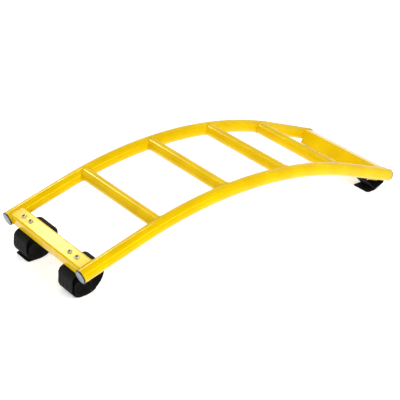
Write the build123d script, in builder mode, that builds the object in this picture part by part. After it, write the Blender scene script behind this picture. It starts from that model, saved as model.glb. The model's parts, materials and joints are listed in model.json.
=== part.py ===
"""Climbing arch ladder for a children's room or gym.

Two bent steel rails carry four rungs and, near their ends, two flat end bars. A wide
hook-and-loop strap is wound up under each end bar, held by two screws and a clamp plate.
The straps wrap round the bars of another climbing frame, or the arch stands on them. It
leans a little, because the left straps are wound in wide loops and the right ones are
folded tighter. X runs along the arch, Y across it and Z up. The origin is on the floor, under
the middle of the whole part.
"""

import os
from math import asin, atan2, cos, degrees, radians, sin, tan

from build123d import *

# Rails: round tube, bent in the middle and straight at both ends
rail_spacing = 360.0
rail_diameter = 40.0
rail_wall = 2.0
bend_radius = 1265.0
bend_half_angle = 18.3
straight_end = 202.0

# How the arch stands: heights of the tube ends, and its shift along X
left_end_height = 92.0
right_end_height = 71.0
arch_shift = -12.45

# Rungs: their places are lengths along the bend, measured from the crown
rung_diameter = 38.0
rung_wall = 2.0
first_rung_place = -343.0
left_bay = 239.0
middle_bay = 226.0
right_bay = 221.0

# End bars: rectangular tube welded between the rails. The right one is deeper, and below
# the cut-back level its ends stop beside the rails. Levels are measured from the rail's axis.
bar_width = 45.0
left_bar_height = 37.0
right_bar_height = 48.0
cut_back_level = -12.0
cut_back_half_length = 158.0
bar_wall = 2.5
bar_corner = 5.0
bar_inset = 5.0
bar_top = 17.5

# Plastic plugs in the rail ends
plug_flange = 4.0
plug_edge = 1.2
plug_shank = 18.0
plug_wall = 2.5
plug_clearance = 0.15
plug_rib_height = 0.7
plug_rib_width = 1.6
plug_rib_pitch = 5.0

# Straps: flat webbing, and its centre distance from the arch's middle plane
strap_width = 65.0
strap_thickness = 2.2
strap_place = 112.0
layer_gap = 0.3
tail_gap = 0.5
tail_corner = 7.0

# Left straps: a wide loop with a smaller turn inside it, both measured from the tube's
# cut end. The back's top corner takes what height its bottom corner leaves.
loop_front = 3.0
loop_back = 98.0
front_top_radius = 20.0
front_bottom_radius = 30.0
back_bottom_radius = 60.0
back_straight = 2.0
inner_turn_front = 7.0
inner_turn_top = 52.0
inner_turn_end = 24.0
inner_top_radius = 18.0
inner_bottom_radius = 20.0
back_tail_start = 10.0
back_tail_stop = 38.5
front_tail_start = 7.0
front_tail_length = 17.0

# Right straps: a narrow leaf that rises from the floor to a fold outside the end bar.
# Reaches are outward from the tube's cut end, and drops are below the end bar's strap.
leaf_tail_tip = -39.5
leaf_tail_root = -24.0
rise_reach = -5.4
rise_radius = 30.0
fold_reach = 41.5
fold_radius = 5.0
shoulder_reach = -54.5
shoulder_radius = 5.0
heel_reach = -57.0
heel_drop = 12.4
heel_radius = 7.0
flank_reach = -35.0
flank_drop = 16.7
flank_radius = 40.0
turn_reach = -5.6
turn_radius = 10.0
inner_end_reach = 22.0

# Fasteners: M8 button heads, through the left bar from its top, and into nuts inside the
# right bar from below
screw_diameter = 8.0
through_screw_length = 50.0
short_screw_length = 16.0
screw_spacing = 33.0
head_diameter = 14.0
head_height = 4.4
head_dome = 3.6
socket_across = 5.0
socket_depth = 2.6
screw_tip = 1.0
hole_clearance = 0.5
thread_clearance = 0.05
clamp_length = 60.0
clamp_width = 25.0
clamp_thickness = 3.0
clamp_corner = 4.0
washer_diameter = 16.0
washer_thickness = 1.6
nut_across = 13.0
nut_height = 6.5

# Each strap: end of the arch, side of the arch, and where its free tail lies
straps = {
    "far_left": (-1, 1, "forward on the floor"),
    "near_left": (-1, -1, "up the back"),
    "far_right": (1, 1, "beside the leaf"),
    "near_right": (1, -1, "beside the leaf"),
}
ends = {"left": -1, "right": 1}
sides = {"near": -1, "far": 1}

# Places worked out from the sizes above
slope = radians(bend_half_angle)
rail_radius = rail_diameter / 2
half_spacing = rail_spacing / 2
bend_half_length = bend_radius * slope
crown_rise = bend_radius * (1 - cos(slope)) + straight_end * sin(slope)
end_reach = bend_radius * sin(slope) + straight_end * cos(slope)
middle_height = (left_end_height + right_end_height) / 2
lean = asin((left_end_height - right_end_height) / (2 * end_reach))
bar_middle = -bar_inset - bar_width / 2
rung_places = [
    first_rung_place,
    first_rung_place + left_bay,
    first_rung_place + left_bay + middle_bay,
    first_rung_place + left_bay + middle_bay + right_bay,
]
outer_layer = strap_thickness / 2
layer_pitch = strap_thickness + layer_gap
inner_layer = outer_layer + layer_pitch
front_tail_root = loop_front - front_bottom_radius + front_tail_start
inner_turn_back = loop_back - back_bottom_radius + inner_bottom_radius

# The arch's own axes: its origin is midway between the tube ends, its X joins them
arch = Plane(
    origin=(arch_shift, 0, middle_height),
    x_dir=(cos(lean), 0, -sin(lean)),
    z_dir=(sin(lean), 0, cos(lean)),
)

os.makedirs("parts", exist_ok=True)


def save(builder, name):
    """Label a finished piece and write it under its own name."""
    builder.part.label = name
    export_step(builder.part, f"parts/{name}.step")


def rail_point(place):
    """X and Z of a rail's centre line on the arch's axes, a length along it from the crown."""
    run = min(abs(place), bend_half_length)
    rest = abs(place) - run
    angle = run / bend_radius
    x = bend_radius * sin(angle) + rest * cos(angle)
    z = crown_rise - bend_radius * (1 - cos(angle)) - rest * sin(angle)
    return (x if place > 0 else -x), z


def upright(y):
    """Plane at y whose own axes are the room's X and Z."""
    return Plane(origin=(0, y, 0), x_dir=(1, 0, 0), z_dir=(0, -1, 0))


def mouth(end, y=0.0):
    """Centre of a tube's cut end, or the point beside it at y."""
    return arch.from_local_coords(Vector(end * end_reach, y, 0))


def outward(end):
    """Direction of the straight rail ends, pointing out of the arch."""
    return arch.x_dir * (end * cos(slope)) - arch.z_dir * sin(slope)


def upward(end):
    """Direction square to the straight rail ends, pointing up."""
    return arch.x_dir * (end * sin(slope)) + arch.z_dir * cos(slope)


def deck(end, height):
    """Plane along a straight rail end, at a height over its axis, facing up.

    Its X is measured outward from the cut end of the tube. Its Y is the arch's Y times
    the end's sign.
    """
    middle = mouth(end) + upward(end) * height
    return Plane(origin=middle, x_dir=outward(end), z_dir=upward(end))


def bar_bottom(end):
    """Height of an end bar's underside over the rail's axis, where its strap starts."""
    return bar_top - (left_bar_height if end < 0 else right_bar_height)


def clamp_top(end):
    """Height of the clamp plate's top, under the strap."""
    return bar_bottom(end) - strap_thickness


def washer_top(end):
    """Height of the washers' top, under the clamp plate."""
    return clamp_top(end) - clamp_thickness


def washer_bottom(end):
    """Height of the washers' underside, where a nut or a screw head sits."""
    return washer_top(end) - washer_thickness


def bar_section(end):
    """Plane of the end bar's cross-section, X outward and Y up from the rail's axis."""
    return Plane(origin=mouth(end), x_dir=outward(end), z_dir=(0, -end, 0))


def rail_line(y):
    """Centre line of the rail that lies at y."""
    bend_x, bend_z = rail_point(bend_half_length)
    side_plane = Plane(origin=arch.from_local_coords(Vector(0, y, 0)), x_dir=arch.x_dir, z_dir=(0, -1, 0))
    with BuildLine(side_plane) as line:
        Line((-end_reach, 0), (-bend_x, bend_z))
        ThreePointArc((-bend_x, bend_z), (0, crown_rise), (bend_x, bend_z))
        Line((bend_x, bend_z), (end_reach, 0))
    return line.wires()[0]


def make_rail(y, wall=None):
    """A bent tube along the rail's line, or a solid bar when no wall is given."""
    line = rail_line(y)
    with BuildPart() as rail:
        with BuildSketch(Plane(origin=line @ 0, x_dir=(0, 1, 0), z_dir=line % 0)):
            Circle(rail_radius)
            if wall:
                Circle(rail_radius - wall, mode=Mode.SUBTRACT)
        sweep(path=line)
    return rail


rail_bodies = [make_rail(side * half_spacing).part for side in sides.values()]

for side_name, side in sides.items():
    save(make_rail(side * half_spacing, rail_wall), f"{side_name}_rail")


def make_rung(place):
    """A round tube between the rails, its ends shaped to sit on them."""
    x, z = rail_point(place)
    middle = arch.from_local_coords(Vector(x, 0, z))
    with BuildPart() as rung:
        with BuildSketch(Plane(origin=middle, x_dir=arch.x_dir, z_dir=(0, 1, 0))):
            Circle(rung_diameter / 2)
            Circle(rung_diameter / 2 - rung_wall, mode=Mode.SUBTRACT)
        extrude(amount=half_spacing, both=True)
        add(rail_bodies, mode=Mode.SUBTRACT)
    return rung


for number, place in enumerate(rung_places, start=1):
    save(make_rung(place), f"rung_{number}")


def screw_spots(end, strap_side):
    """The two screw centres of one strap, on a deck plane."""
    y = end * strap_side * strap_place
    return [(bar_middle, y - screw_spacing / 2), (bar_middle, y + screw_spacing / 2)]


def make_end_bar(end):
    """A flat rectangular tube between the rails, drilled for the screws.

    The left one is drilled right through, and the right one only through its underside.
    """
    height = bar_top - bar_bottom(end)
    with BuildPart() as bar:
        with BuildSketch(bar_section(end)):
            with Locations((bar_middle, bar_top - height / 2)):
                RectangleRounded(bar_width, height, bar_corner)
                RectangleRounded(
                    bar_width - 2 * bar_wall,
                    height - 2 * bar_wall,
                    bar_corner - bar_wall,
                    mode=Mode.SUBTRACT,
                )
        extrude(amount=half_spacing, both=True)
        add(rail_bodies, mode=Mode.SUBTRACT)
        for side in (-1, 1) if end > 0 else ():
            with BuildSketch(bar_section(end).offset(side * cut_back_half_length)):
                with Locations((bar_middle, bar_bottom(end))):
                    Rectangle(2 * bar_width, 2 * (cut_back_level - bar_bottom(end)))
            extrude(amount=side * (half_spacing - cut_back_half_length), mode=Mode.SUBTRACT)
        with BuildSketch(deck(end, bar_bottom(end))):
            with Locations(*screw_spots(end, 1), *screw_spots(end, -1)):
                Circle((screw_diameter + hole_clearance) / 2)
        extrude(amount=height if end < 0 else bar_wall, mode=Mode.SUBTRACT)
    return bar


for end_name, end in ends.items():
    save(make_end_bar(end), f"{end_name}_end_bar")


def make_plug(end, side):
    """A push-in plastic plug: a flat flange on the tube's end and a ribbed hollow shank."""
    seat = mouth(end, side * half_spacing)
    rib_radius = rail_radius - rail_wall - plug_clearance
    shank_radius = rib_radius - plug_rib_height
    face = Plane(origin=seat, x_dir=(0, 1, 0), z_dir=outward(end))
    with BuildPart() as plug:
        with BuildSketch(face):
            Circle(rail_radius)
        extrude(amount=plug_flange)
        fillet(plug.faces().sort_by(Axis(seat, outward(end)))[-1].edges(), plug_edge)
        with BuildSketch(face):
            Circle(shank_radius)
        extrude(amount=-plug_shank)
        for count in range(1, 4):
            with BuildSketch(face.offset(-count * plug_rib_pitch)):
                Circle(rib_radius)
            extrude(amount=plug_rib_width)
        with BuildSketch(face):
            Circle(shank_radius - plug_wall)
        extrude(amount=-plug_shank, mode=Mode.SUBTRACT)
    return plug


for side_name, side in sides.items():
    for end_name, end in ends.items():
        save(make_plug(end, side), f"{side_name}_{end_name}_plug")


def loop_corner(end, reach, height=None):
    """A corner of a strap's line, at a reach outward from the tube's cut end.

    With no height given it lies on the line of the strap under the end bar.
    """
    start = mouth(end)
    if height is None:
        level = bar_bottom(end) - strap_thickness / 2
        out, up = outward(end), upward(end)
        run = (end * reach - level * up.X) / out.X
        height = start.Z + level * up.Z + run * out.Z
    return (start.X + end * reach, height)


def back_arc(start, stop):
    """Arc of the outer layer up the back of a left loop, in degrees from its bottom."""
    centre = loop_corner(-1, back_bottom_radius - loop_back, inner_layer + back_bottom_radius)
    CenterArc(centre, back_bottom_radius + layer_pitch, start - 90, stop - start)


def back_top_radius():
    """Radius that fits between the back's bottom corner and the strap under the bar."""
    height = loop_corner(-1, -loop_back)[1] - inner_layer
    turn = radians(90) + slope - lean
    return (height - back_bottom_radius - back_straight) / tan(turn / 2)


def back_tailed_line():
    """Left strap line: inner turn, loop, and an outer end that starts up the back."""
    FilletPolyline(
        loop_corner(-1, -inner_turn_back, inner_turn_end),
        loop_corner(-1, -inner_turn_back, inner_turn_top),
        loop_corner(-1, -inner_turn_front, inner_turn_top),
        loop_corner(-1, -inner_turn_front, inner_layer),
        loop_corner(-1, -loop_back, inner_layer),
        loop_corner(-1, -loop_back),
        loop_corner(-1, loop_front),
        loop_corner(-1, loop_front, outer_layer),
        loop_corner(-1, back_bottom_radius - loop_back, outer_layer),
        radius=[
            inner_top_radius,
            inner_top_radius,
            inner_bottom_radius,
            back_bottom_radius,
            back_top_radius(),
            front_top_radius,
            front_bottom_radius,
        ],
    )
    back_arc(0, back_tail_start)


def front_tailed_line():
    """Left strap line: inner turn, loop, and an outer end under it, towards the arch's end."""
    FilletPolyline(
        loop_corner(-1, -inner_turn_front, inner_turn_end),
        loop_corner(-1, -inner_turn_front, inner_turn_top),
        loop_corner(-1, -inner_turn_back, inner_turn_top),
        loop_corner(-1, -inner_turn_back, inner_layer),
        loop_corner(-1, loop_front, inner_layer),
        loop_corner(-1, loop_front),
        loop_corner(-1, -loop_back),
        loop_corner(-1, -loop_back, outer_layer),
        loop_corner(-1, front_tail_root, outer_layer),
        radius=[
            inner_top_radius,
            inner_top_radius,
            inner_bottom_radius,
            front_bottom_radius,
            front_top_radius,
            back_top_radius(),
            back_bottom_radius,
        ],
    )


def leaf_line():
    """Right strap line: a closed leaf whose inner end lies on its rising outer layer."""
    fold = loop_corner(1, fold_reach)
    flank_height = loop_corner(1, flank_reach)[1] - flank_drop
    heel_height = loop_corner(1, heel_reach)[1] - heel_drop
    rise = atan2(fold[1] - outer_layer, fold_reach - rise_reach)

    def over_rise(reach):
        height = outer_layer + (reach - rise_reach) * tan(rise) + layer_pitch / cos(rise)
        return loop_corner(1, reach, height)

    FilletPolyline(
        over_rise(inner_end_reach),
        over_rise(turn_reach),
        loop_corner(1, flank_reach, flank_height),
        loop_corner(1, heel_reach, heel_height),
        loop_corner(1, shoulder_reach),
        fold,
        loop_corner(1, rise_reach, outer_layer),
        loop_corner(1, leaf_tail_root, outer_layer),
        radius=[turn_radius, flank_radius, heel_radius, shoulder_radius, fold_radius, rise_radius],
    )


def strap_line(tail_place):
    """Line of a strap's fixed length."""
    if tail_place == "up the back":
        back_tailed_line()
    elif tail_place == "forward on the floor":
        front_tailed_line()
    else:
        leaf_line()


def tail_line(tail_place):
    """Line of a strap's free tail, from its root to its tip."""
    if tail_place == "up the back":
        gap_angle = degrees(tail_gap / (back_bottom_radius + layer_pitch))
        back_arc(back_tail_start + gap_angle, back_tail_stop)
    elif tail_place == "forward on the floor":
        root = front_tail_root + tail_gap
        tip = root + front_tail_length
        Line(loop_corner(-1, root, outer_layer), loop_corner(-1, tip, outer_layer))
    else:
        root = leaf_tail_root - tail_gap
        Line(loop_corner(1, root, outer_layer), loop_corner(1, leaf_tail_tip, outer_layer))


def webbing_start(line):
    """Plane square to a strap's line where it starts, with its X across the strap."""
    return Plane(origin=line @ 0, x_dir=(0, 1, 0), z_dir=line % 0)


def make_strap(end, side, tail_place):
    """The strap's fixed length: one strip, closed on itself with its ends overlapping."""
    with BuildLine(upright(side * strap_place)) as route:
        strap_line(tail_place)
    line = route.wires()[0]
    with BuildPart() as strap:
        with BuildSketch(webbing_start(line)):
            Rectangle(strap_width, strap_thickness)
        sweep(path=line)
        with BuildSketch(deck(end, bar_bottom(end))):
            with Locations(*screw_spots(end, side)):
                Circle((screw_diameter + hole_clearance) / 2)
        extrude(amount=-strap_thickness * 2, mode=Mode.SUBTRACT)
    return strap


def make_tail(side, tail_place):
    """The free end of the strap, which peels away, with rounded corners."""
    with BuildLine(upright(side * strap_place)) as route:
        tail_line(tail_place)
    line = route.wires()[0]
    with BuildPart() as flap:
        with BuildSketch(webbing_start(line)):
            Rectangle(strap_width, strap_thickness)
        sweep(path=line)
        corners = flap.edges().filter_by(lambda edge: abs(edge.length - strap_thickness) < 0.01)
        fillet(corners.sort_by_distance(line @ 1)[:2], tail_corner)
    return flap


for strap_name, (end, side, tail_place) in straps.items():
    save(make_strap(end, side, tail_place), f"{strap_name}_strap")
    save(make_tail(side, tail_place), f"{strap_name}_tail")


def make_clamp_plate(end, side):
    """A steel strip that presses the strap against the end bar."""
    with BuildPart() as plate:
        with BuildSketch(deck(end, clamp_top(end))):
            with Locations((bar_middle, end * side * strap_place)):
                RectangleRounded(clamp_width, clamp_length, clamp_corner)
            with Locations(*screw_spots(end, side)):
                Circle((screw_diameter + hole_clearance) / 2, mode=Mode.SUBTRACT)
        extrude(amount=-clamp_thickness)
    return plate


def screw_seat(end):
    """Plane under the screw heads: on the left bar's top, or under the right washers."""
    if end < 0:
        return deck(end, bar_top)
    under = deck(end, washer_bottom(end))
    return Plane(origin=under.origin, x_dir=under.x_dir, z_dir=-under.z_dir)


def make_screws(end, side):
    """Two button-head screws, dropped in from the left bar's top or driven up from below."""
    seat = screw_seat(end)
    length = through_screw_length if end < 0 else short_screw_length
    spots = [(x, -end * y) for x, y in screw_spots(end, side)]
    with BuildPart() as screws:
        with BuildSketch(seat):
            with Locations(*spots):
                Circle(head_diameter / 2)
        extrude(amount=head_height)
        rims = screws.edges().filter_by(GeomType.CIRCLE).group_by(Axis(seat.origin, seat.z_dir))[-1]
        fillet(rims, head_dome)
        with BuildSketch(seat):
            with Locations(*spots):
                Circle(screw_diameter / 2)
        extrude(amount=-length)
        points = screws.edges().filter_by(GeomType.CIRCLE).group_by(Axis(seat.origin, seat.z_dir))[0]
        chamfer(points, screw_tip)
        with BuildSketch(seat.offset(head_height)):
            with Locations(*spots):
                RegularPolygon(socket_across / 2, 6, major_radius=False)
        extrude(amount=-socket_depth, mode=Mode.SUBTRACT)
    return screws


def make_washers(end, side):
    """Two plain washers under the clamp plate."""
    with BuildPart() as washers:
        with BuildSketch(deck(end, washer_top(end))):
            with Locations(*screw_spots(end, side)):
                Circle(washer_diameter / 2)
                Circle((screw_diameter + hole_clearance) / 2, mode=Mode.SUBTRACT)
        extrude(amount=-washer_thickness)
    return washers


def make_nuts(end, side):
    """Two hexagon nuts: under the left washers, or fixed inside the right bar."""
    floor = washer_bottom(end) - nut_height if end < 0 else bar_bottom(end) + bar_wall
    with BuildPart() as nuts:
        with BuildSketch(deck(end, floor)):
            with Locations(*screw_spots(end, side)):
                RegularPolygon(nut_across / 2, 6, major_radius=False)
                Circle(screw_diameter / 2 + thread_clearance, mode=Mode.SUBTRACT)
        extrude(amount=nut_height)
    return nuts


for strap_name, (end, side, _) in straps.items():
    save(make_clamp_plate(end, side), f"{strap_name}_clamp_plate")
    save(make_screws(end, side), f"{strap_name}_screws")
    save(make_washers(end, side), f"{strap_name}_washers")
    save(make_nuts(end, side), f"{strap_name}_nuts")
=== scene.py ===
# %% [markdown]
# # A climbing arch, from CAD frame to picture
#
# The CAD model gives every hard part its place and size. This script loads that model as a
# fixed frame, paints it, adds the weld beads, the plug faces and the soft webbing straps,
# and lights it on a plain pale floor. Everything is in metres.

# %% Load the frame
import json

import bpy
import numpy as np
from mathutils import Matrix, Vector


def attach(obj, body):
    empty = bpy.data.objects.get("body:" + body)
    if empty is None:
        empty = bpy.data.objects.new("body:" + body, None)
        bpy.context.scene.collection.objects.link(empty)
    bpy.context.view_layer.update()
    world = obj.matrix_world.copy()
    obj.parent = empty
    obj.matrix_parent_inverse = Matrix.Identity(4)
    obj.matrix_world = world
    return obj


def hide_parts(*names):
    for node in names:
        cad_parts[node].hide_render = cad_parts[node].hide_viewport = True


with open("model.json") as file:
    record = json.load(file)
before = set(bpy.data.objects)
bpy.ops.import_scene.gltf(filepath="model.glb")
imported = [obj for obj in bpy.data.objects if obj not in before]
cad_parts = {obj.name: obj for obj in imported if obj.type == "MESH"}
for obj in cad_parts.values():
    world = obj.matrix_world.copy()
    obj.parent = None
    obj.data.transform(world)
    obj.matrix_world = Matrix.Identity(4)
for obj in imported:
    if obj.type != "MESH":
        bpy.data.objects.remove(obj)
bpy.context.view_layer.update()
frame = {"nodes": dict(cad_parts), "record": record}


# %% [markdown]
# ## The sizes that the new pieces share with the CAD model
#
# The arch has its own axes, tilted by a small lean. Its origin is midway between the tube
# ends. `room` turns points on those axes into room coordinates:
# X = shift + x cos(lean) + z sin(lean), Z = middle - x sin(lean) + z cos(lean).

# %% Sizes and axes
MM = 0.001
HALF_SPACING = 180.0
RAIL_RADIUS = 20.0
RUNG_RADIUS = 19.0
BEND_RADIUS = 1265.0
SLOPE = np.radians(18.3)
STRAIGHT_END = 202.0
LEFT_END_HEIGHT = 92.0
RIGHT_END_HEIGHT = 71.0
ARCH_SHIFT = -12.45
RUNG_PLACES = (-343.0, -104.0, 122.0, 343.0)
BAR_MIDDLE = -27.5
BAR_WIDTH = 45.0
BAR_HEIGHTS = {-1: 37.0, 1: 48.0}
WELD_HEIGHTS = {-1: 37.0, 1: 29.5}
BAR_TOP = 17.5
BAR_CORNER = 5.0
PLUG_FLANGE = 4.0
STRAP_WIDTH = 65.0
STRAP_THICKNESS = 2.2
STRAP_PLACE = 112.0

END_REACH = BEND_RADIUS * np.sin(SLOPE) + STRAIGHT_END * np.cos(SLOPE)
CROWN_RISE = BEND_RADIUS * (1 - np.cos(SLOPE)) + STRAIGHT_END * np.sin(SLOPE)
MIDDLE_HEIGHT = (LEFT_END_HEIGHT + RIGHT_END_HEIGHT) / 2
LEAN = np.arcsin((LEFT_END_HEIGHT - RIGHT_END_HEIGHT) / (2 * END_REACH))


def turn_lean(vectors):
    """Directions on the arch's axes, turned by the lean about Y."""
    v = np.asarray(vectors, float)
    x = v[..., 0] * np.cos(LEAN) + v[..., 2] * np.sin(LEAN)
    z = -v[..., 0] * np.sin(LEAN) + v[..., 2] * np.cos(LEAN)
    return np.stack([x, v[..., 1], z], axis=-1)


def room(points):
    """Points on the arch's axes, in millimetres, as room points in millimetres."""
    return turn_lean(points) + np.array([ARCH_SHIFT, 0.0, MIDDLE_HEIGHT])


def end_axes(end):
    """Outward and upward directions of a straight rail end, on the arch's axes."""
    outward = np.array([end * np.cos(SLOPE), 0.0, -np.sin(SLOPE)])
    upward = np.array([end * np.sin(SLOPE), 0.0, np.cos(SLOPE)])
    return outward, upward


# %% [markdown]
# ## Helpers for meshes and nodes
#
# Each new piece is a grid of points joined by quads. `skin` joins rings of points, and
# `add_node` adds a shader node, sets it and links it in one line.

# %% Helpers
def make_mesh(name, points_mm, faces, smooth=True):
    """A mesh object from points in millimetres, linked to the scene at the origin."""
    mesh = bpy.data.meshes.new(name)
    mesh.from_pydata((np.asarray(points_mm) * MM).tolist(), [], faces)
    mesh.polygons.foreach_set("use_smooth", np.full(len(mesh.polygons), smooth))
    mesh.update()
    piece = bpy.data.objects.new(name, mesh)
    bpy.context.scene.collection.objects.link(piece)
    return piece


def skin(rows, columns, closed_rows=False, closed_columns=True):
    """Quads of a grid whose point (i, j) has index i * columns + j."""
    faces = []
    for i in range(rows if closed_rows else rows - 1):
        below = (i + 1) % rows
        for j in range(columns if closed_columns else columns - 1):
            beside = (j + 1) % columns
            here, under = i * columns, below * columns
            faces.append((here + j, here + beside, under + beside, under + j))
    return faces


def add_node(tree, kind, inputs=None, **settings):
    """Add a shader node. A socket given as an input is linked, anything else is a value."""
    made = tree.nodes.new(kind)
    for key, value in settings.items():
        setattr(made, key, value)
    for key, value in (inputs or {}).items():
        if isinstance(value, bpy.types.NodeSocket):
            tree.links.new(value, made.inputs[key])
        else:
            made.inputs[key].default_value = value
    return made


def linear(code):
    """Linear colour of a six-digit sRGB hex code: c/12.92 or ((c + 0.055)/1.055)^2.4."""
    values = [int(code[i : i + 2], 16) / 255 for i in (0, 2, 4)]
    lit = [c / 12.92 if c <= 0.04045 else ((c + 0.055) / 1.055) ** 2.4 for c in values]
    return (*lit, 1.0)


def two_colours(tree, factor, low, high, start=0.35, stop=0.65):
    """A ramp between two hex colours."""
    ramp = add_node(tree, "ShaderNodeValToRGB", {"Fac": factor})
    ramp.color_ramp.elements[0].position = start
    ramp.color_ramp.elements[1].position = stop
    ramp.color_ramp.elements[0].color = linear(low)
    ramp.color_ramp.elements[1].color = linear(high)
    return ramp.outputs["Color"]


def new_material(name):
    """An empty node material and its tree."""
    material = bpy.data.materials.new(name)
    material.use_nodes = True
    material.node_tree.nodes.clear()
    return material, material.node_tree


def finish_material(tree, colour, normal, **socket_shade):
    """The principled shader with constant numbers, a colour and a bump."""
    values = {"Base Color": colour, "Normal": normal, **socket_shade}
    shader = add_node(tree, "ShaderNodeBsdfPrincipled", values)
    add_node(tree, "ShaderNodeOutputMaterial", {"Surface": shader.outputs["BSDF"]})


def grain(tree, vector, size_mm, detail=2.0):
    """Noise whose lumps are about size_mm across."""
    values = {"Vector": vector, "Scale": 1 / (size_mm * MM), "Detail": detail}
    return add_node(tree, "ShaderNodeTexNoise", values).outputs["Fac"]


def relief(tree, height, depth_mm, strength=1.0):
    """Bump of a real depth from a height between 0 and 1."""
    values = {"Height": height, "Distance": depth_mm * MM, "Strength": strength}
    return add_node(tree, "ShaderNodeBump", values).outputs["Normal"]


# %% [markdown]
# ## Paint, plastic, zinc and webbing
#
# The powder coat is a deep yellow with a faint orange-peel skin, about 1.6 mm from crest to
# crest. The plastic has the fine grain of a mould, and the zinc a bright crystalline plate.

# %% Powder coat
def powder_coat():
    """Glossy yellow powder coat over steel, thicker here and there."""
    material, tree = new_material("glossy yellow powder coat")
    place = add_node(tree, "ShaderNodeTexCoord").outputs["Object"]
    colour = two_colours(tree, grain(tree, place, 70, 3), "D8B000", "E2BC00")
    normal = relief(tree, grain(tree, place, 1.6), 0.006)
    finish_material(
        tree, colour, normal, Roughness=0.16, **{"Specular Tint": linear("FFE23C"), "IOR": 1.42}
    )
    return material


def weld_coat():
    """The same paint over the rippled weld metal, a little deeper where it pools."""
    material, tree = new_material("powder coat over weld")
    place = add_node(tree, "ShaderNodeTexCoord").outputs["Object"]
    colour = two_colours(tree, grain(tree, place, 4, 3), "C89600", "E8BE00")
    normal = relief(tree, grain(tree, place, 1.1), 0.06)
    finish_material(
        tree, colour, normal, Roughness=0.3, **{"Specular Tint": linear("FFE678"), "IOR": 1.5}
    )
    return material


# %% Plastic and zinc
def moulded_plastic(name, low, high, roughness):
    """Moulded plastic with a fine grain."""
    material, tree = new_material(name)
    place = add_node(tree, "ShaderNodeTexCoord").outputs["Object"]
    colour = two_colours(tree, grain(tree, place, 9, 3), low, high)
    normal = relief(tree, grain(tree, place, 0.6), 0.02)
    finish_material(tree, colour, normal, Roughness=roughness)
    return material


def zinc_plate():
    """Bright zinc plate on steel. Its warm cream tint is partly the plate's own colour and partly
    painted reflection of the yellow paint.
    """
    material, tree = new_material("bright zinc plate")
    place = add_node(tree, "ShaderNodeTexCoord").outputs["Object"]
    # The warm cream colours are partly painted reflection of the yellow paint around the heads.
    colour = two_colours(tree, grain(tree, place, 2.5, 3), "B8B298", "D2CCB0")
    normal = relief(tree, grain(tree, place, 0.5), 0.01)
    finish_material(tree, colour, normal, Roughness=0.3, Metallic=1.0)
    return material


# %% [markdown]
# The webbing carries its own attribute: X is the length along the strap, Y the place across
# it, both in metres, and Z is 1 on the soft loop side. Two sines make the weave, 1.3 mm
# apart, and noise makes the pile.

# %% Webbing
WEAVE_PITCH = 1.3


def combine(tree, operation, *values):
    """One math node on sockets or numbers."""
    inputs = dict(enumerate(values))
    return add_node(tree, "ShaderNodeMath", inputs, operation=operation).outputs[0]


def sine_of(tree, value, period_mm):
    """sin(2 pi value / period)."""
    turns = combine(tree, "MULTIPLY", value, 2 * np.pi / (period_mm * MM))
    return combine(tree, "SINE", turns)


def black_webbing():
    """Black hook-and-loop webbing: a plain weave outside, a greyer pile inside."""
    material, tree = new_material("black hook-and-loop webbing")
    web = add_node(tree, "ShaderNodeAttribute", attribute_name="web").outputs["Vector"]
    parts = add_node(tree, "ShaderNodeSeparateXYZ", {"Vector": web})
    weave = combine(
        tree,
        "MULTIPLY",
        sine_of(tree, parts.outputs["X"], WEAVE_PITCH),
        sine_of(tree, parts.outputs["Y"], WEAVE_PITCH),
    )
    fuzz = grain(tree, web, 0.5, 3)
    height = combine(tree, "MULTIPLY_ADD", weave, 0.25, 0.5)
    height = combine(tree, "ADD", height, combine(tree, "MULTIPLY", fuzz, 0.4))
    worn = combine(tree, "MULTIPLY", grain(tree, web, 14, 3), 0.55)
    pile = combine(tree, "MULTIPLY", parts.outputs["Z"], 0.3)
    shade = combine(tree, "ADD", worn, pile)
    colour = two_colours(tree, shade, "030405", "101215", 0.15, 0.75)
    finish_material(
        tree, colour, relief(tree, height, 0.2), Roughness=0.8, **{"Specular IOR Level": 0.25}
    )
    return material


paint = powder_coat()
weld_paint = weld_coat()
plastic = moulded_plastic("black moulded plastic", "17181A", "202225", 0.3)
# The plug faces are black plastic; their grey-blue colour here is painted reflection of the bright
# room.
plug_face_painted_reflection = moulded_plastic("plug face with painted reflection", "6F7B85", "84909A", 0.35)
zinc = zinc_plate()
webbing = black_webbing()

# %% [markdown]
# ## Paint the CAD nodes
#
# Each node keeps its shape and place. Only its material changes, and its faces are shaded
# smoothly except across edges sharper than 30 degrees.

# %% Finishes on the CAD nodes
finishes = {
    "powder_coated_steel": paint,
    "black_plastic": plastic,
    "zinc_plated_steel": zinc,
    "webbing": webbing,
}
slot_of = {entry["node"]: entry["material_slot"] for entry in frame["record"]["subparts"]}

for node_name, cad_object in frame["nodes"].items():
    mesh = cad_object.data
    if not mesh.materials:
        mesh.materials.append(None)
    for index in range(len(mesh.materials)):
        mesh.materials[index] = finishes[slot_of[node_name]]
    mesh.polygons.foreach_set("use_smooth", np.ones(len(mesh.polygons), bool))
    mesh.set_sharp_from_angle(angle=np.radians(30))


def dress(piece, body, material):
    """Give a new piece its finish and the body that it rides on."""
    piece.data.materials.append(material)
    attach(piece, body)


# %% [markdown]
# ## Weld beads
#
# Where a rung of radius b meets a rail of radius r at right angles, a point at angle p round
# the rung lies at height b sin(p) over the rail's axis, so the joint runs along
# y = 180 - sqrt(r^2 - (b sin p)^2). The same holds for the end bars with their rounded
# rectangular outlines. The right bar's lower part stops beside the rails, so its bead goes
# round the upper 29.5 mm. A bead is a thin tube along that line with ripples 2 mm apart.

# %% Weld beads
RUNG_BEAD_RADIUS = 2.1
BAR_BEAD_RADIUS = 2.3
BEAD_POINTS = 12
RIPPLE_PITCH = 2.0


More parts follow.
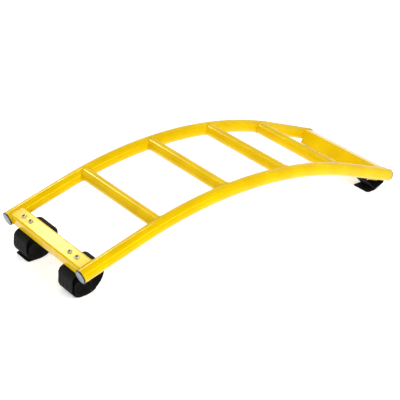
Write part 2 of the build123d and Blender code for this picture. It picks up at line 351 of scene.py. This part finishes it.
def bead_along(name, line, out_from_tube, radius, side):
    """A closed rippled tube. Its section lies between the tube's own outward and Y."""
    count = len(line)
    steps = np.linalg.norm(np.roll(line, -1, axis=0) - line, axis=1)
    length = np.concatenate([[0.0], np.cumsum(steps)[:-1]])
    total = steps.sum()
    ripples = round(total / RIPPLE_PITCH)
    swell = 1 + 0.12 * np.sin(2 * np.pi * ripples * length / total)
    swell += 0.07 * np.sin(2 * np.pi * 5 * length / total + side)
    angle = np.linspace(0, 2 * np.pi, BEAD_POINTS, endpoint=False)
    inward = np.array([0.0, -side, 0.0])
    ring = (
        np.cos(angle)[None, :, None] * out_from_tube[:, None, :]
        + np.sin(angle)[None, :, None] * inward[None, None, :]
    )
    points = line[:, None, :] + (radius * swell)[:, None, None] * ring
    faces = skin(count, BEAD_POINTS, closed_rows=True)
    piece = make_mesh(name, room(points.reshape(-1, 3)), faces)
    dress(piece, "arch", weld_paint)


def rung_bead(number, place, side_name, side):
    """The bead round one end of a rung."""
    turn = place / BEND_RADIUS
    height = CROWN_RISE - BEND_RADIUS * (1 - np.cos(turn))
    middle = np.array([BEND_RADIUS * np.sin(turn), 0.0, height])
    along = np.array([np.cos(turn), 0.0, -np.sin(turn)])
    over = np.array([np.sin(turn), 0.0, np.cos(turn)])
    angle = np.linspace(0, 2 * np.pi, 240, endpoint=False)
    radial = np.cos(angle)[:, None] * along + np.sin(angle)[:, None] * over
    depth = HALF_SPACING - np.sqrt(RAIL_RADIUS**2 - (RUNG_RADIUS * np.sin(angle)) ** 2)
    line = middle + RUNG_RADIUS * radial
    line[:, 1] = side * depth
    bead_along(f"rung_{number}_{side_name}_weld", line, radial, RUNG_BEAD_RADIUS, side)


def bar_outline(end, step=0.5):
    """Outline of an end bar's welded part: points, and outward directions, from its middle."""
    half_width = BAR_WIDTH / 2 - BAR_CORNER
    half_height = WELD_HEIGHTS[end] / 2 - BAR_CORNER
    points, directions = [], []
    corners = ((1, 1, 0), (-1, 1, 90), (-1, -1, 180), (1, -1, 270))
    for across, over, start in corners:
        for degree in np.linspace(start, start + 90, 12):
            way = np.array([np.cos(np.radians(degree)), np.sin(np.radians(degree))])
            points.append(np.array([across * half_width, over * half_height]) + BAR_CORNER * way)
            directions.append(way)
    points, directions = np.array(points), np.array(directions)
    closed = np.vstack([points, points[:1]])
    length = np.concatenate([[0.0], np.cumsum(np.linalg.norm(np.diff(closed, axis=0), axis=1))])
    spots = np.linspace(0, length[-1], int(length[-1] / step), endpoint=False)
    ways = np.vstack([directions, directions[:1]])
    place = np.stack([np.interp(spots, length, closed[:, k]) for k in (0, 1)], axis=1)
    way = np.stack([np.interp(spots, length, ways[:, k]) for k in (0, 1)], axis=1)
    return place, way / np.linalg.norm(way, axis=1)[:, None]


def bar_bead(end_name, end, side_name, side):
    """The bead round one end of an end bar."""
    outward, upward = end_axes(end)
    place, way = bar_outline(end)
    run = place[:, 0] + BAR_MIDDLE
    level = place[:, 1] + BAR_TOP - WELD_HEIGHTS[end] / 2
    tube_end = np.array([end * END_REACH, 0.0, 0.0])
    line = tube_end + run[:, None] * outward + level[:, None] * upward
    line[:, 1] = side * (HALF_SPACING - np.sqrt(RAIL_RADIUS**2 - level**2))
    radial = way[:, :1] * outward + way[:, 1:] * upward
    bead_along(f"{end_name}_bar_{side_name}_weld", line, radial, BAR_BEAD_RADIUS, side)


ends = {"left": -1, "right": 1}
sides = {"near": -1, "far": 1}

for side_name, side in sides.items():
    for number, place in enumerate(RUNG_PLACES, start=1):
        rung_bead(number, place, side_name, side)
    for end_name, end in ends.items():
        bar_bead(end_name, end, side_name, side)

# %% [markdown]
# ## Plug faces
#
# The face of each plug is a shallow dome, h (1 - (r/R)^2) high, with a small groove near
# its rim. Its grey-blue colour is painted reflection of the bright room on the black plastic.

# %% Plug faces
PLUG_RIM = 17.6
PLUG_DOME = 1.1
PLUG_GROOVE_RADIUS, PLUG_GROOVE_DEPTH, PLUG_GROOVE_WIDTH = 15.4, 0.35, 0.5


def plug_face(end_name, end, side_name, side):
    """A domed disc on the plug's flange, its grey-blue colour painted reflection."""
    outward, upward = end_axes(end)
    rings, around = 26, 72
    radius = np.linspace(0.02, PLUG_RIM, rings)
    groove = np.exp(-(((radius - PLUG_GROOVE_RADIUS) / PLUG_GROOVE_WIDTH) ** 2))
    height = PLUG_DOME * (1 - (radius / PLUG_RIM) ** 2) - PLUG_GROOVE_DEPTH * groove
    height = np.maximum(height, 0.0) + 0.02
    angle = np.linspace(0, 2 * np.pi, around, endpoint=False)
    middle = np.array([end * END_REACH, side * HALF_SPACING, 0.0]) + PLUG_FLANGE * outward
    across = np.array([0.0, 1.0, 0.0])
    points = (
        middle
        + (radius[:, None] * np.cos(angle))[..., None] * across
        + (radius[:, None] * np.sin(angle))[..., None] * upward
        + height[:, None, None] * outward
    )
    faces = skin(rings, around) + [tuple(range(around))]
    piece = make_mesh(f"{side_name}_{end_name}_plug_face", room(points.reshape(-1, 3)), faces)
    dress(piece, "arch", plug_face_painted_reflection)


for side_name, side in sides.items():
    for end_name, end in ends.items():
        plug_face(end_name, end, side_name, side)

# %% [markdown]
# ## Screw sockets
#
# A black disc over each hexagon socket is painted shade, in place of the dark shadow inside
# the deep socket. DISC_RISE is its height over the face that the screw head sits on.

# %% Screw sockets
SCREW_SPACING = 33.0
SOCKET_RADIUS = 3.6
DISC_POINTS = 24
DISC_RISE = 4.42
CLAMP_THICKNESS = 3.0
WASHER_THICKNESS = 1.6
STACK_HEIGHT = STRAP_THICKNESS + CLAMP_THICKNESS + WASHER_THICKNESS
SOCKET_LEVELS = {-1: BAR_TOP + DISC_RISE, 1: BAR_TOP - BAR_HEIGHTS[1] - STACK_HEIGHT - DISC_RISE}

# Near-black material for the discs of painted shade over the screw sockets.
socket_painted_shade = moulded_plastic("painted socket shade", "040404", "080808", 0.9)


def socket_shade_discs(end_name, end, side_name, side):
    """Two black discs of painted shade, one over each socket of a strap's screws."""
    outward, upward = end_axes(end)
    angle = np.linspace(0, 2 * np.pi, DISC_POINTS, endpoint=False)
    across = np.array([0.0, 1.0, 0.0])
    points, faces = [], []
    for number, offset in enumerate((-SCREW_SPACING / 2, SCREW_SPACING / 2)):
        middle = np.array([end * END_REACH, side * STRAP_PLACE + offset, 0.0])
        middle = middle + BAR_MIDDLE * outward + SOCKET_LEVELS[end] * upward
        circle = np.cos(angle)[:, None] * outward + np.sin(angle)[:, None] * across
        points.append(middle + SOCKET_RADIUS * circle)
        faces.append(tuple(range(DISC_POINTS * number, DISC_POINTS * (number + 1))))
    name = f"{side_name}_{end_name}_sockets"
    piece = make_mesh(name, room(np.vstack(points)), faces, smooth=False)
    dress(piece, "arch", socket_painted_shade)


for side_name, side in sides.items():
    for end_name, end in ends.items():
        socket_shade_discs(end_name, end, side_name, side)

# %% [markdown]
# ## The straps
#
# A strap's line is a polyline with rounded corners, the same as in the CAD model. Reaches
# are outward from the tube's cut end and heights are over the floor. A corner between two
# runs that meet at angle q is an arc of radius r that starts r / tan(q/2) from it.

# %% Strap lines
OUTER_LAYER = STRAP_THICKNESS / 2
LAYER_GAP = 0.3
LAYER_PITCH = STRAP_THICKNESS + LAYER_GAP
INNER_LAYER = OUTER_LAYER + LAYER_PITCH
TAIL_GAP = 0.2
TAIL_CORNER = 7.0
LOOP_FRONT, LOOP_BACK = 3.0, 98.0
FRONT_TOP, FRONT_BOTTOM, BACK_BOTTOM, BACK_STRAIGHT = 20.0, 30.0, 60.0, 2.0
TURN_FRONT, TURN_TOP, TURN_END = 7.0, 52.0, 24.0
INNER_TURN_RADII = (18.0, 18.0, 20.0)
TURN_BACK = LOOP_BACK - BACK_BOTTOM + INNER_TURN_RADII[-1]
BACK_TAIL_START, BACK_TAIL_STOP = 10.0, 38.5
FRONT_TAIL_START, FRONT_TAIL_LENGTH = 7.0, 17.5
FRONT_TAIL_ROOT = LOOP_FRONT - FRONT_BOTTOM + FRONT_TAIL_START
FRONT_TAIL_TIP = FRONT_TAIL_ROOT + FRONT_TAIL_LENGTH
LEAF_TAIL_ROOT, LEAF_TAIL_TIP = -24.0, -39.5
RISE_REACH, FOLD_REACH, INNER_END_REACH, TURN_REACH = -5.4, 41.5, 22.0, -5.6
FLANK_REACH, FLANK_DROP, HEEL_REACH, HEEL_DROP = -35.0, 16.7, -57.0, 12.4
SHOULDER_REACH = -54.5
LEAF_RADII = (10.0, 40.0, 7.0, 5.0, 5.0, 30.0)


def corner(end, reach, height=None):
    """A corner of a strap's line in room X and Z, on the bar's underside by default."""
    start = room(np.array([end * END_REACH, 0.0, 0.0]))
    if height is None:
        outward, upward = (turn_lean(v) for v in end_axes(end))
        level = BAR_TOP - BAR_HEIGHTS[end] - STRAP_THICKNESS / 2
        run = (end * reach - level * upward[0]) / outward[0]
        height = start[2] + level * upward[2] + run * outward[2]
    return np.array([start[0] + end * reach, height])


def rounded(points, radii):
    """A polyline through rounded corners."""
    line = [points[0]]
    for before, spot, after, radius in zip(points, points[1:], points[2:], radii):
        back = (before - spot) / np.linalg.norm(before - spot)
        on = (after - spot) / np.linalg.norm(after - spot)
        half = np.arccos(np.clip(back @ on, -1, 1)) / 2
        centre = spot + (back + on) / np.linalg.norm(back + on) * radius / np.sin(half)
        first = spot + back * radius / np.tan(half) - centre
        last = spot + on * radius / np.tan(half) - centre
        start = np.arctan2(first[1], first[0])
        turn = np.arctan2(last[1], last[0]) - start
        turn = (turn + np.pi) % (2 * np.pi) - np.pi
        for angle in np.linspace(start, start + turn, 24):
            line.append(centre + radius * np.array([np.cos(angle), np.sin(angle)]))
    line.append(points[-1])
    return np.array(line)


def back_arc(start, stop):
    """The outer layer up the back of a left loop, in degrees from its bottom."""
    centre = corner(-1, BACK_BOTTOM - LOOP_BACK, INNER_LAYER + BACK_BOTTOM)
    angle = np.radians(np.linspace(start, stop, 40) - 90)
    return centre + (BACK_BOTTOM + LAYER_PITCH) * np.stack([np.cos(angle), np.sin(angle)], axis=1)


def back_top():
    """Radius of the back's top corner: what height the bottom corner leaves / tan(turn/2)."""
    height = corner(-1, -LOOP_BACK)[1] - INNER_LAYER
    turn = np.pi / 2 + SLOPE - LEAN
    return (height - BACK_BOTTOM - BACK_STRAIGHT) / np.tan(turn / 2)


def back_tailed_line():
    """Left strap: a small inner turn, then the loop, whose outer end starts up its back."""
    loop = rounded(
        [
            corner(-1, -TURN_BACK, TURN_END),
            corner(-1, -TURN_BACK, TURN_TOP),
            corner(-1, -TURN_FRONT, TURN_TOP),
            corner(-1, -TURN_FRONT, INNER_LAYER),
            corner(-1, -LOOP_BACK, INNER_LAYER),
            corner(-1, -LOOP_BACK),
            corner(-1, LOOP_FRONT),
            corner(-1, LOOP_FRONT, OUTER_LAYER),
            corner(-1, BACK_BOTTOM - LOOP_BACK, OUTER_LAYER),
        ],
        [*INNER_TURN_RADII, BACK_BOTTOM, back_top(), FRONT_TOP, FRONT_BOTTOM],
    )
    return np.vstack([loop, back_arc(0, BACK_TAIL_START)[1:]])


def front_tailed_line():
    """Left strap: a small inner turn, then the loop, whose outer end passes under it."""
    return rounded(
        [
            corner(-1, -TURN_FRONT, TURN_END),
            corner(-1, -TURN_FRONT, TURN_TOP),
            corner(-1, -TURN_BACK, TURN_TOP),
            corner(-1, -TURN_BACK, INNER_LAYER),
            corner(-1, LOOP_FRONT, INNER_LAYER),
            corner(-1, LOOP_FRONT),
            corner(-1, -LOOP_BACK),
            corner(-1, -LOOP_BACK, OUTER_LAYER),
            corner(-1, FRONT_TAIL_ROOT, OUTER_LAYER),
        ],
        [*INNER_TURN_RADII, FRONT_BOTTOM, FRONT_TOP, back_top(), BACK_BOTTOM],
    )


def leaf_line():
    """Right strap: a flat leaf whose inner end lies on its rising outer layer."""
    fold = corner(1, FOLD_REACH)
    rise = np.arctan2(fold[1] - OUTER_LAYER, FOLD_REACH - RISE_REACH)

    def over_rise(reach):
        height = OUTER_LAYER + (reach - RISE_REACH) * np.tan(rise) + LAYER_PITCH / np.cos(rise)
        return corner(1, reach, height)

    def below_bar(reach, drop):
        return corner(1, reach, corner(1, reach)[1] - drop)

    return rounded(
        [
            over_rise(INNER_END_REACH),
            over_rise(TURN_REACH),
            below_bar(FLANK_REACH, FLANK_DROP),
            below_bar(HEEL_REACH, HEEL_DROP),
            corner(1, SHOULDER_REACH),
            fold,
            corner(1, RISE_REACH, OUTER_LAYER),
            corner(1, LEAF_TAIL_ROOT, OUTER_LAYER),
        ],
        LEAF_RADII,
    )


# %% [markdown]
# ## Webbing along a line
#
# The line is cut into 1 mm steps. At each step a flat section, 65 mm by 2.2 mm with round
# selvedges, stands square to it. Where the strap hangs free it has soft folds along its
# length: their height is a sin(2 pi w / 16 mm + p), where w is the place across the strap
# and p drifts slowly along it.

# %% Webbing builder
FLAT_POINTS = 44
SELVEDGE = 0.95
GROOVE_PLACE, GROOVE_DEPTH, GROOVE_WIDTH = 29.6, 0.16, 0.5
FOLD_HEIGHT, FOLD_PITCH = 0.4, 16.0
DRIFT, DRIFT_LENGTH = 1.4, 70.0


def resample(line, step=1.0):
    """Evenly spaced points along a line, and their lengths from its start."""
    length = np.concatenate([[0.0], np.cumsum(np.linalg.norm(np.diff(line, axis=0), axis=1))])
    spots = np.linspace(0, length[-1], int(np.ceil(length[-1] / step)) + 1)
    return np.stack([np.interp(spots, length, line[:, k]) for k in (0, 1)], axis=1), spots


def webbing_section():
    """Outline of the webbing: place across from -1 to 1, height in mm, and side."""
    half = STRAP_WIDTH / 2
    flat = np.linspace(-1, 1, FLAT_POINTS)
    from_groove = (np.abs(flat) * half - GROOVE_PLACE) / GROOVE_WIDTH
    groove = GROOVE_DEPTH * np.exp(-(from_groove**2))
    top = [(w, STRAP_THICKNESS / 2 - g, 1.0) for w, g in zip(flat, groove)]
    bottom = [(w, -STRAP_THICKNESS / 2 + g, 0.0) for w, g in zip(flat[::-1], groove)]
    outline = np.array(top + bottom)
    inside = 1 - SELVEDGE / half
    outline[:, 0] *= inside
    ends_of_ring = []
    for sign in (1, -1):
        for degree in (60, 30, 0, -30, -60):
            lift = sign * np.sin(np.radians(degree)) * STRAP_THICKNESS / 2
            bulge = sign * (inside + np.cos(np.radians(degree)) * SELVEDGE / half)
            ends_of_ring.append((bulge, lift, 0.5))
    first, second = outline[:FLAT_POINTS], outline[FLAT_POINTS:]
    return np.vstack([first, ends_of_ring[:5], second, ends_of_ring[5:]])


def make_webbing(name, line, side, inner, fold_mask=None, round_tip=False):
    """A strap along a line in the XZ plane. inner is +1 if its left side is the loop side."""
    path, spots = resample(line)
    along = np.gradient(path, axis=0)
    along /= np.linalg.norm(along, axis=1)[:, None]
    normal = inner * np.stack([-along[:, 1], along[:, 0]], axis=1)
    section = webbing_section()
    half = np.full(len(path), STRAP_WIDTH / 2)
    if round_tip:
        left = np.clip(TAIL_CORNER - (spots[-1] - spots), 0, TAIL_CORNER)
        half -= TAIL_CORNER - np.sqrt(TAIL_CORNER**2 - left**2)
    across = section[None, :, 0] * half[:, None]
    height = np.repeat(section[None, :, 1], len(path), axis=0)
    if fold_mask is not None:
        drift = DRIFT * np.sin(2 * np.pi * spots / DRIFT_LENGTH + side)
        folds = np.sin(2 * np.pi * across / FOLD_PITCH + drift[:, None])
        height = height + FOLD_HEIGHT * fold_mask(path)[:, None] * folds
    points = np.stack(
        [
            path[:, :1] + normal[:, :1] * height,
            side * STRAP_PLACE + across,
            path[:, 1:] + normal[:, 1:] * height,
        ],
        axis=-1,
    )
    rows, columns = height.shape
    faces = skin(rows, columns)
    faces.append(tuple(range(columns)))
    faces.append(tuple(range((rows - 1) * columns, rows * columns)))
    piece = make_mesh(name, points.reshape(-1, 3), faces)
    web = np.stack(
        [
            np.repeat(spots[:, None], columns, axis=1) * MM,
            across * MM,
            np.repeat(section[None, :, 2], rows, axis=0),
        ],
        axis=-1,
    )
    piece.data.attributes.new("web", "FLOAT_VECTOR", "POINT").data.foreach_set(
        "vector", web.astype(np.float32).ravel()
    )
    piece.data.set_sharp_from_angle(angle=np.radians(50))
    return piece


def fade(value, start, stop):
    """0 at start and 1 at stop, straight in between."""
    return np.clip((value - start) / (stop - start), 0, 1)


def loop_folds(path):
    """1 where a left loop hangs free, 0 near the clamp, the floor and a second layer."""
    height = path[:, 1]
    return fade(height, 19, 31) * fade(height, 60, 50)


def leaf_folds(path):
    """1 on the free flank of a right strap, 0 elsewhere."""
    reach, height = path[:, 0] - corner(1, 0)[0], path[:, 1]
    return fade(reach, -14, -22) * fade(height, 14, 22) * fade(height, 38, 30)


# %% Build the straps and their tails
strap_plan = {
    "near_left": (-1, back_tailed_line(), 1, loop_folds),
    "far_left": (1, front_tailed_line(), -1, loop_folds),
    "near_right": (-1, leaf_line(), -1, leaf_folds),
    "far_right": (1, leaf_line(), -1, leaf_folds),
}
gap_angle = np.degrees(TAIL_GAP / (BACK_BOTTOM + LAYER_PITCH))
leaf_tail = np.array(
    [corner(1, LEAF_TAIL_ROOT - TAIL_GAP, OUTER_LAYER), corner(1, LEAF_TAIL_TIP, OUTER_LAYER)]
)
front_tail = np.array(
    [corner(-1, FRONT_TAIL_ROOT + TAIL_GAP, OUTER_LAYER), corner(-1, FRONT_TAIL_TIP, OUTER_LAYER)]
)
tail_plan = {
    "near_left": (-1, back_arc(BACK_TAIL_START + gap_angle, BACK_TAIL_STOP), 1),
    "far_left": (1, front_tail, -1),
    "near_right": (-1, leaf_tail, -1),
    "far_right": (1, leaf_tail, -1),
}

for strap_name, (side, line, inner, folds) in strap_plan.items():
    strap = make_webbing(f"{strap_name}_webbing", line, side, inner, folds)
    dress(strap, "arch", webbing)
    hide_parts(f"{strap_name}_strap")

for strap_name, (side, line, inner) in tail_plan.items():
    tail = make_webbing(f"{strap_name}_free_end", line, side, inner, round_tip=True)
    dress(tail, f"{strap_name}_flap", webbing)
    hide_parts(f"{strap_name}_tail")

# %% [markdown]
# ## Floor, light and camera
#
# The floor is a plain pale plane. A white sky gives most of the light, with a soft key over
# the camera and two long strips whose reflections run along the tubes. The strip
# that lies along X shows on the rails, and the one along Y shows on the rungs. A small
# panel puts a pale glare on the left end bar. The sky is dimmer overhead, 0.6 against 0.88 at
# the horizon, so the tubes' upper edges darken.

# %% Floor
def pale_floor():
    """A matt off-white floor."""
    material, tree = new_material("pale matt floor")
    place = add_node(tree, "ShaderNodeTexCoord").outputs["Object"]
    colour = two_colours(tree, grain(tree, place, 900, 2), "FBFBFB", "FDFDFD")
    normal = relief(tree, grain(tree, place, 30), 0.02)
    glow = {"Emission Color": linear("FFFFFF"), "Emission Strength": 0.4}
    finish_material(tree, colour, normal, Roughness=0.9, **{"Specular IOR Level": 0.1}, **glow)
    return material


floor_points = [(-9000, -9000, 0), (9000, -9000, 0), (9000, 9000, 0), (-9000, 9000, 0)]
floor = make_mesh("floor", floor_points, [(0, 1, 2, 3)], smooth=False)
floor.data.materials.append(pale_floor())

# %% Light
def soft_light(name, location, target, size, energy):
    """A rectangular light that faces a target. size is (X, Y) on its own axes."""
    light = bpy.data.lights.new(name, "AREA")
    light.shape = "RECTANGLE"
    light.size, light.size_y = size
    light.energy = energy
    holder = bpy.data.objects.new(name, light)
    holder.location = location
    holder.rotation_euler = (Vector(target) - Vector(location)).to_track_quat("-Z", "Y").to_euler()
    bpy.context.scene.collection.objects.link(holder)


soft_light("key", (-2.4, -2.4, 3.2), (0, 0, 0.1), (2.4, 2.4), 30)
soft_light("rail_strip", (0.25, -2.1, 1.5), (0.25, 0, 0.1), (1.7, 0.1), 26)
soft_light("rung_strip", (-0.05, 2.0, 2.4), (-0.05, 2.0, 0), (0.1, 2.4), 14)
soft_light("bar_glare", (-0.25, 2.1, 2.12), (-0.56, 0.11, 0.1), (0.4, 0.25), 9)

world = bpy.data.worlds.new("white room")
bpy.context.scene.world = world
world.use_nodes = True
sky = world.node_tree
sky.nodes.clear()
rays = add_node(sky, "ShaderNodeLightPath")
way = add_node(sky, "ShaderNodeTexCoord").outputs["Generated"]
rise = add_node(sky, "ShaderNodeSeparateXYZ", {"Vector": way}).outputs["Z"]
fall = {"Value": rise, "From Min": 0.1, "From Max": 0.9, "To Min": 0.88, "To Max": 0.6}
strength = add_node(sky, "ShaderNodeMapRange", fall).outputs["Result"]
lit = add_node(sky, "ShaderNodeBackground", {"Color": (1, 1, 1, 1), "Strength": strength})
seen = add_node(sky, "ShaderNodeBackground", {"Color": (1, 1, 1, 1), "Strength": 1.0})
choice = add_node(sky, "ShaderNodeMixShader", {"Fac": rays.outputs["Is Camera Ray"]})
sky.links.new(lit.outputs[0], choice.inputs[1])
sky.links.new(seen.outputs[0], choice.inputs[2])
add_node(sky, "ShaderNodeOutputWorld", {"Surface": choice.outputs[0]})

# %% [markdown]
# The camera stands where the photograph was taken from. Its angles were solved on the
# arch's own axes, so the lean turns them too.

# %% Camera
CAMERA_PLACE = np.array([ARCH_SHIFT - 1965.6, -2156.9, 1616.2]) * MM
AZIMUTH, ELEVATION, ROLL = np.radians([-42.12422, 27.36341, 5.46073])
back = np.array(
    [np.sin(AZIMUTH) * np.cos(ELEVATION), -np.cos(AZIMUTH) * np.cos(ELEVATION), np.sin(ELEVATION)]
)
right = np.cross(-back, [0, 0, 1])
right /= np.linalg.norm(right)
up = np.cross(right, -back)
rolled_right = right * np.cos(ROLL) + up * np.sin(ROLL)
rolled_up = -right * np.sin(ROLL) + up * np.cos(ROLL)

camera_data = bpy.data.cameras.new("camera")
camera_data.sensor_width = 36
camera_data.lens = 99.2175
camera_data.clip_end = 60
camera = bpy.data.objects.new("camera", camera_data)
axes = [turn_lean(v) for v in (rolled_right, rolled_up, back)]
turned = Matrix(np.array(axes).T.tolist()).to_4x4()
camera.matrix_world = Matrix.Translation(CAMERA_PLACE.tolist()) @ turned
bpy.context.scene.collection.objects.link(camera)
bpy.context.scene.camera = camera
bpy.context.scene.view_settings.view_transform = "Standard"
